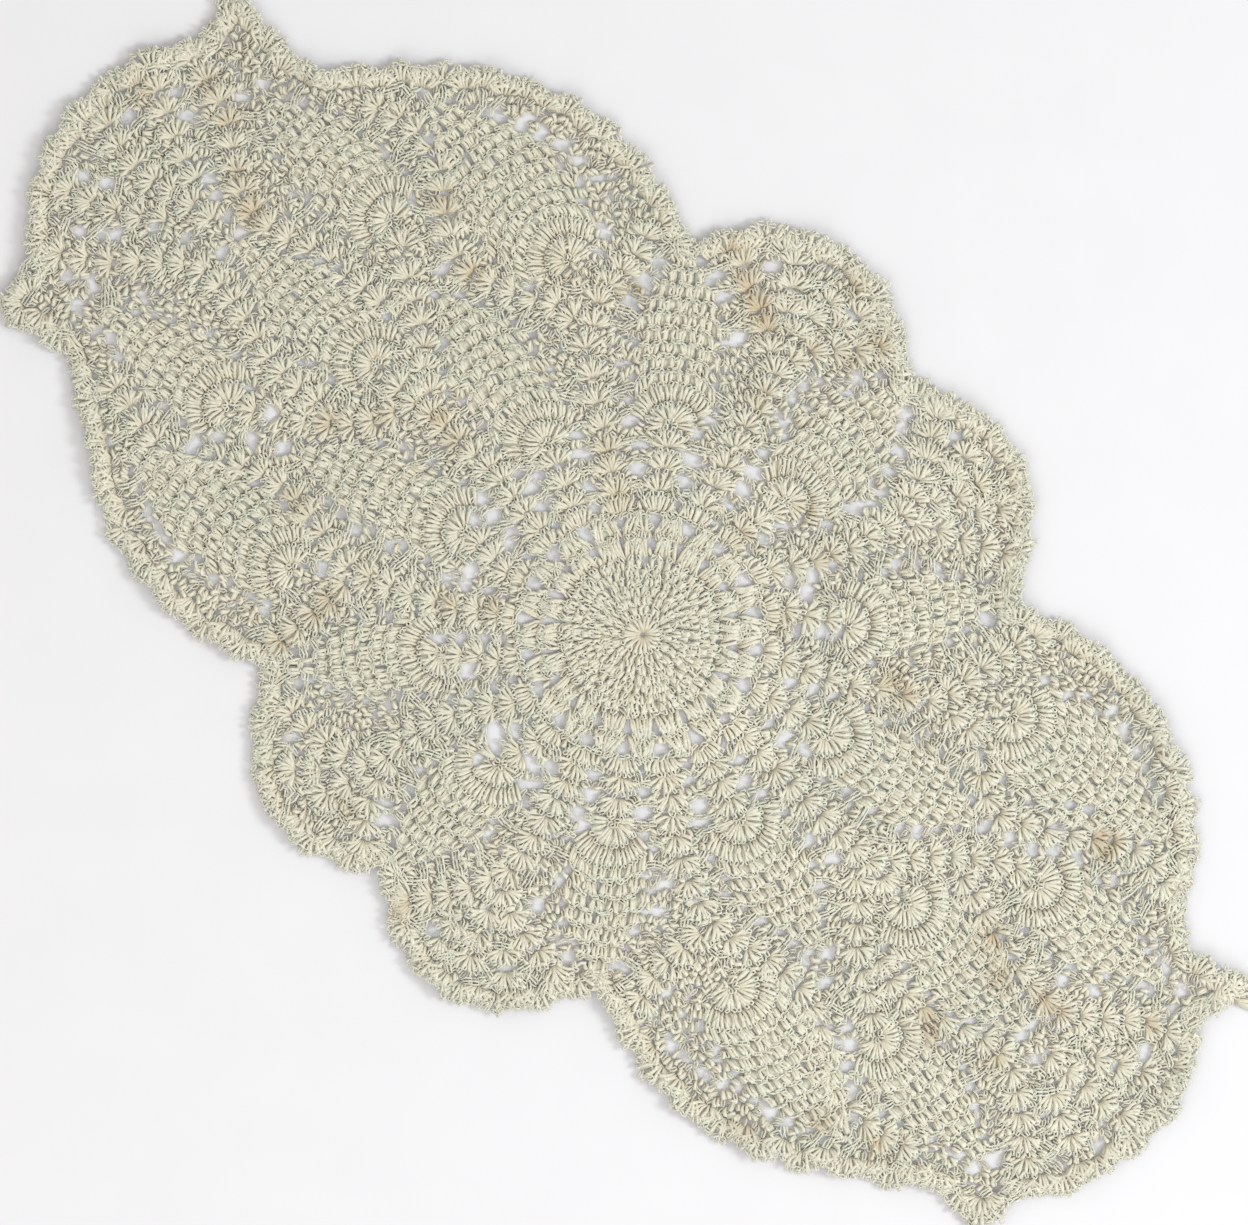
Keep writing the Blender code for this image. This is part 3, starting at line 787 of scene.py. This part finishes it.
def uneven(x, y):
    """Slow handmade wander of the rows, in mm."""
    dx = 0.45 * np.sin(0.11 * y + 0.05 * x + 1.0) + 0.22 * np.sin(0.31 * y - 0.17 * x)
    dy = 0.45 * np.sin(0.10 * x - 0.06 * y + 2.0) + 0.22 * np.sin(0.29 * x + 0.19 * y + 0.7)
    return dx, dy


def lift(x, y, rim):
    """Height of the cloth over the table: a little everywhere, more along the edge."""
    wave = 0.5 + 0.5 * np.sin(0.083 * x + 0.7) * np.sin(0.097 * y + 0.4)
    near = np.clip(1.0 - rim / 16.0, 0.0, 1.0)
    edge_wave = 0.5 + 0.5 * np.sin(0.19 * x + 0.13 * y)
    return 0.25 * wave + near ** 2 * (0.6 + 1.7 * edge_wave)


def stain_and_shade_at(x, y):
    """How strongly each point takes the brown spots, partly stain and partly painted shade, from 0
    to 1.
    """
    total = np.zeros(len(x))
    for (radius, strength), places in STAIN_AND_SHADE_SPOTS.items():
        for sx, sy in places:
            total += strength * np.exp(-((x - sx) ** 2 + (y - sy) ** 2) / radius ** 2)
    return np.clip(total, 0.0, 1.0)


def post_lines(rows):
    """Each post as a bowed line that climbs from its root: points (n, knots, 3) and rootness."""
    rows = np.asarray(rows)
    start, end = rows[:, None, :2], rows[:, None, 2:]
    t = np.linspace(0.0, 1.0, POST_KNOTS)[None, :]
    way = end - start
    way = way / np.hypot(way[..., 0], way[..., 1])[..., None]
    side = np.stack((-way[..., 1], way[..., 0]), -1)
    bow = rng.normal(0, 0.32, (len(rows), 1))
    out = bow * np.sin(np.pi * t) + rng.normal(0, 0.14, (len(rows), POST_KNOTS))
    xy = start + (end - start) * t[..., None] + side * out[..., None]
    arch = np.sin(np.pi * t ** 0.8 * 0.75)
    z = LOW + (HIGH - LOW) * arch * rng.uniform(0.75, 1.25, (len(rows), 1))
    z = z + rng.normal(0, 0.09, z.shape)
    z = np.maximum(z, LEG_THREAD + FLOOR_GAP)
    return np.concatenate((xy, z[..., None]), -1), np.broadcast_to(1.0 - t, z.shape)


def chain_loops(rows):
    """Each chain stitch as a closed, slightly tilted loop: points (n, knots, 3)."""
    rows = np.asarray(rows)
    start, way = rows[:, :2], rows[:, 2:] - rows[:, :2]
    long = np.hypot(way[:, 0], way[:, 1])
    way = way / long[:, None]
    side = np.stack((-way[:, 1], way[:, 0]), -1)
    shape = np.array(CHAIN_SHAPE)
    reach = np.maximum(long * CHAIN_REACH, CHAIN_LEAST)
    wide = CHAIN_WIDTH * rng.uniform(0.85, 1.2, len(rows))
    tilt = rng.normal(0, 0.32, len(rows))
    along = shape[None, :, 0] * reach[:, None]
    across = shape[None, :, 1] * wide[:, None]
    xy = (start[:, None] + way[:, None] * along[..., None] + side[:, None] * across[..., None])
    z = CHAIN_LEVEL + shape[None, :, 2] + shape[None, :, 1] * tilt[:, None]
    z = z + rng.normal(0, 0.16, (len(rows), 1))
    return np.concatenate((xy, z[..., None]), -1)


def tubes(lines, radius, sides, closed, section=(1.0, 1.0)):
    """Vertices, line by line, and four-cornered faces of a tube round each line.

    section widens the tube's upper side and its underside. Ends are closed on four-sided tubes.
    """
    n, knots = lines.shape[:2]
    if closed:
        tangent = np.roll(lines, -1, 1) - np.roll(lines, 1, 1)
    else:
        tangent = np.gradient(lines, axis=1)
    tangent = tangent / np.linalg.norm(tangent, axis=2, keepdims=True)
    side = np.cross(tangent, (0.0, 0.0, 1.0))
    side = side / np.maximum(np.linalg.norm(side, axis=2, keepdims=True), 1e-6)
    up = np.cross(side, tangent)
    angle = (np.arange(sides) + 0.5) * 2 * math.pi / sides
    reach = np.cos(angle) * np.where(np.sin(angle) > 0, *section)
    ring = reach[:, None] * side[:, :, None] + np.sin(angle)[:, None] * up[:, :, None]
    points = lines[:, :, None] + ring * radius
    index = np.arange(n * knots * sides).reshape(n, knots, sides)
    after = np.roll(index, -1, 1) if closed else index[:, 1:]
    here = index if closed else index[:, :-1]
    faces = np.stack((here, np.roll(here, -1, 2), np.roll(after, -1, 2), after), -1)
    faces = faces.reshape(-1, 4)
    if not closed:
        faces = np.concatenate((faces, index[:, 0, ::-1], index[:, -1]))
    return points.reshape(-1, 3), faces


def back_lines(rows):
    """The back of each post: a flat straight wrap under it."""
    rows = np.asarray(rows)
    lines = np.empty((len(rows), 2, 3))
    lines[:, 0, :2], lines[:, 1, :2] = rows[:, :2], rows[:, 2:]
    lines[:, :, 2] = BACK_LEVEL + rng.normal(0, 0.05, (len(rows), 1))
    return lines


def lace_part(name, material, chain_rows=(), post_rows=(), back_rows=(), sink=0.0):
    """One stretch of the lace as a mesh, from its posts, its chains or the backs of its posts."""
    # root holds each point's share of the painted shade colour
    points, faces, root = [], [], []

    def add(tube, painted_shade):
        faces.append(tube[1] + sum(map(len, points)))
        points.append(tube[0])
        root.append(np.broadcast_to(painted_shade, len(tube[0])))

    if len(back_rows):
        wide = (BACK_WIDE, BACK_WIDE)
        # painted shade on the backs, which lie under the posts
        add(tubes(back_lines(back_rows), BACK_HALF, 4, False, wide), BACK_SHADE)
    if len(post_rows):
        lines, roots = post_lines(post_rows)
        taper = np.linspace(*LEG_TAPER, POST_KNOTS)[None, :, None, None]
        thick = LEG_THREAD * taper * rng.uniform(0.82, 1.22, (*lines.shape[:2], 1, 1))
        # painted shade: strongest at a post's root, more on its underside
        painted_shade = (POST_ROOT_SHADE * roots[..., None] + FOOT_SHADE).reshape(-1)
        add(tubes(lines, thick, 4, False, LEG_SECTION), painted_shade)
    if len(chain_rows):
        loops = chain_loops(chain_rows)
        loops[..., 2] = np.maximum(loops[..., 2] - sink, THREAD + FLOOR_GAP)
        # painted shade on loops, more on those that lie lower
        add(tubes(loops, THREAD, 3, True), CHAIN_SHADE + sink)
    points, root, quads = np.concatenate(points), np.concatenate(root), np.concatenate(faces)
    corners, starts = quads.ravel(), np.arange(len(quads)) * 4
    x, y = points[:, 0].copy(), points[:, 1].copy()
    dx, dy = uneven(x, y)
    points[:, 0] += dx
    points[:, 1] += dy
    points[:, 2] += lift(x, y, rim_distance(x, y))
    mesh = bpy.data.meshes.new(name)
    mesh.vertices.add(len(points))
    middle = np.array(frame["record"]["mounts"][0]["pos_m"])
    mesh.vertices.foreach_set("co", (points * MM + middle).astype(np.float32).ravel())
    mesh.loops.add(len(corners))
    mesh.loops.foreach_set("vertex_index", corners.astype(np.int32))
    mesh.polygons.add(len(starts))
    mesh.polygons.foreach_set("loop_start", starts.astype(np.int32))
    mesh.update(calc_edges=True)
    mesh.polygons.foreach_set("use_smooth", np.ones(len(starts), bool))
    # the first attribute carries painted shade, the second brown spots that are partly stain and
    # partly painted shade
    for label, values in (("root", root), ("stain_and_shade", stain_and_shade_at(x, y))):
        layer = mesh.attributes.new(label, "FLOAT", "POINT")
        layer.data.foreach_set("value", values.astype(np.float32))
    low, high = points[:, :2].min(0), points[:, :2].max(0)
    flat = (points[:, :2] - low) / (high - low)
    uv = mesh.uv_layers.new(name="OFBake")
    uv.data.foreach_set("uv", flat[corners].astype(np.float32).ravel())
    mesh.materials.append(material)
    return add_object(name, mesh)


# ---- materials

# colours, linear: the ends of each range of tones, and what is mixed in
YARN_TONES = ((0.735, 0.745, 0.645), (0.80, 0.795, 0.68))
THREAD_TONES = ((0.84, 0.84, 0.82), (1.0, 1.0, 1.0))
# painted shade: the warm dark mixed in at the roots and undersides of posts, on backs and on loops
ROOT_SHADE_COLOR = (0.50, 0.38, 0.22)
# brown spots: partly stain where the cotton has aged, partly painted shade at the roots of shells
STAIN_AND_SHADE_COLOR = (0.40, 0.24, 0.06)
FLOOR_TONES = ((0.745, 0.75, 0.785), (0.775, 0.78, 0.815))


def cotton():
    """Matte ecru cotton: uneven tone, fine twist, painted shade at roots and undersides, brown
    spots partly stain, partly painted shade.
    """
    material = bpy.data.materials.new("ecru_cotton")
    material.use_nodes = True
    nodes, links = material.node_tree.nodes, material.node_tree.links
    shader = nodes["Principled BSDF"]
    shader.inputs["Roughness"].default_value = 0.85
    shader.inputs["Specular IOR Level"].default_value = 0.25
    shader.inputs["Sheen Weight"].default_value = 0.25
    shader.inputs["Sheen Roughness"].default_value = 0.5
    place = nodes.new("ShaderNodeTexCoord")

    def noise(scale, detail):
        node = nodes.new("ShaderNodeTexNoise")
        node.inputs["Scale"].default_value = scale
        node.inputs["Detail"].default_value = detail
        links.new(place.outputs["Object"], node.inputs["Vector"])
        return node.outputs["Fac"]

    def ramp(factor, stops):
        node = nodes.new("ShaderNodeValToRGB")
        links.new(factor, node.inputs["Fac"])
        for i, (at, color) in enumerate(stops):
            item = node.color_ramp.elements[i] if i < 2 else node.color_ramp.elements.new(at)
            item.position, item.color = at, (*color, 1.0)
        return node.outputs["Color"]

    def mixed(factor, first, second, blend="MIX"):
        node = nodes.new("ShaderNodeMix")
        node.data_type, node.blend_type = "RGBA", blend
        if isinstance(factor, float):
            node.inputs[0].default_value = factor
        else:
            links.new(factor, node.inputs[0])
        for socket, value in ((6, first), (7, second)):
            if isinstance(value, tuple):
                node.inputs[socket].default_value = (*value, 1.0)
            else:
                links.new(value, node.inputs[socket])
        return node.outputs[2]

    def times(value, factor):
        node = nodes.new("ShaderNodeMath")
        node.operation = "MULTIPLY"
        links.new(value, node.inputs[0])
        if isinstance(factor, float):
            node.inputs[1].default_value = factor
        else:
            links.new(factor, node.inputs[1])
        return node.outputs[0]

    def attribute(name):
        node = nodes.new("ShaderNodeAttribute")
        node.attribute_name = name
        return node.outputs["Fac"]

    tone = ramp(noise(28.0, 3.0), zip((0.3, 0.7), YARN_TONES))
    thread = ramp(noise(900.0, 2.0), zip((0.35, 0.65), THREAD_TONES))
    color = mixed(1.0, tone, thread, "MULTIPLY")
    # painted shade, from the root attribute
    root_shade = times(attribute("root"), times(noise(120.0, 2.0), 0.9))
    color = mixed(root_shade, color, ROOT_SHADE_COLOR)
    # brown spots: partly stain, partly painted shade
    stain_and_shade_share = times(attribute("stain_and_shade"), times(noise(260.0, 2.0), 0.8))
    color = mixed(stain_and_shade_share, color, STAIN_AND_SHADE_COLOR)
    links.new(color, shader.inputs["Base Color"])
    bump = nodes.new("ShaderNodeBump")
    bump.inputs["Strength"].default_value = 0.5
    bump.inputs["Distance"].default_value = 0.00012
    links.new(noise(3500.0, 2.0), bump.inputs["Height"])
    links.new(bump.outputs["Normal"], shader.inputs["Normal"])
    return material


def floor_material():
    material = bpy.data.materials.new("pale_floor")
    material.use_nodes = True
    nodes, links = material.node_tree.nodes, material.node_tree.links
    shader = nodes["Principled BSDF"]
    shader.inputs["Roughness"].default_value = 0.9
    shader.inputs["Specular IOR Level"].default_value = 0.1
    place = nodes.new("ShaderNodeTexCoord")
    speck = nodes.new("ShaderNodeTexNoise")
    speck.inputs["Scale"].default_value = 40.0
    links.new(place.outputs["Object"], speck.inputs["Vector"])
    node = nodes.new("ShaderNodeValToRGB")
    for element, tone in zip(node.color_ramp.elements, FLOOR_TONES):
        element.color = (*tone, 1.0)
    links.new(speck.outputs["Fac"], node.inputs["Fac"])
    links.new(node.outputs["Color"], shader.inputs["Base Color"])
    return material


# ---- camera and light

VIEW_WIDTH = 0.3994                   # metres across the picture
VIEW_LEVEL = 0.001                    # height at which that is so
CAMERA_TURN = math.radians(43.7)      # how far the mat's long axis is turned in the picture
CAMERA_HEIGHT = 4.0
CAMERA_MIDDLE = (0.0006, -0.0024)
FLOOR_HALF = 3.0                      # half the floor's side
KEY_COLOR, FILL_COLOR = (0.97, 0.99, 1.0), (1.0, 0.985, 0.96)
SKY_COLOR, SKY_STRENGTH = (1.0, 0.97, 0.925), 0.80


def add_camera():
    data = bpy.data.cameras.new("camera")
    data.type = "PERSP"
    data.sensor_fit = "HORIZONTAL"
    data.sensor_width = 36.0
    data.lens = data.sensor_width * (CAMERA_HEIGHT - VIEW_LEVEL) / VIEW_WIDTH
    data.clip_end = 20.0
    camera = add_object("camera", data)
    camera.location = (*CAMERA_MIDDLE, CAMERA_HEIGHT)
    camera.rotation_euler = (0.0, 0.0, CAMERA_TURN)
    bpy.context.scene.camera = camera


def area_light(name, picture_degrees, distance, height, size, power, color):
    """An area light, its bearing in the picture counted from the right side, against the clock."""
    data = bpy.data.lights.new(name, "AREA")
    data.shape, data.size, data.energy, data.color = "SQUARE", size, power, color
    light = add_object(name, data)
    bearing = CAMERA_TURN + math.radians(picture_degrees)
    light.location = (distance * math.cos(bearing), distance * math.sin(bearing), height)
    light.rotation_euler = (math.atan2(distance, height), 0.0, bearing + math.pi / 2)


def add_floor():
    mesh = bpy.data.meshes.new("floor")
    s = FLOOR_HALF
    mesh.from_pydata([(-s, -s, 0), (s, -s, 0), (s, s, 0), (-s, s, 0)], [], [(0, 1, 2, 3)])
    mesh.materials.append(floor_material())
    add_object("floor", mesh)


# ---- the model

# The lace is one cloth. Its mesh is cut across into bands, and each band into three pieces: posts
# with the filling loops, chains, and backs. Only the first is measured as a sheet.
CUTS = (-260.0, -150.0, -80.0, -25.0, 30.0, 85.0, 150.0, 260.0)


def build():
    holes = lay_out()
    material = cotton()
    tables = [np.array(rows) for rows in (posts + strands, chains, filled, wraps)]
    for k, (left, right) in enumerate(zip(CUTS, CUTS[1:])):
        legs, links, loops, backs = (t[(t[:, 0] >= left) & (t[:, 0] < right)] for t in tables)
        name = f"lace_{k + 1}"
        part = lace_part(name, material, loops, legs, sink=FILL_SINK)
        tops = lace_part(f"{name}_tops", material, links)
        open_below = in_holes(*((legs[:, :2] + legs[:, 2:]) / 2).T, holes, BACK_MARGIN)
        backs = np.concatenate((legs[~open_below], backs))
        under = lace_part(f"{name}_backs", material, back_rows=backs)
        for piece in (part, tops, under):
            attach(piece, "root")
            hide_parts("doily")


add_camera()
add_floor()
area_light("key", -8.0, distance=1.5, height=1.2, size=0.6, power=17.0, color=KEY_COLOR)
area_light("fill", 262.0, distance=0.85, height=0.9, size=0.9, power=3.5, color=FILL_COLOR)
world = bpy.data.worlds.new("world")
world.use_nodes = True
sky = world.node_tree.nodes["Background"]
sky.inputs["Color"].default_value = (*SKY_COLOR, 1.0)
sky.inputs["Strength"].default_value = SKY_STRENGTH
bpy.context.scene.world = world
bpy.context.scene.view_settings.view_transform = "Standard"
build()
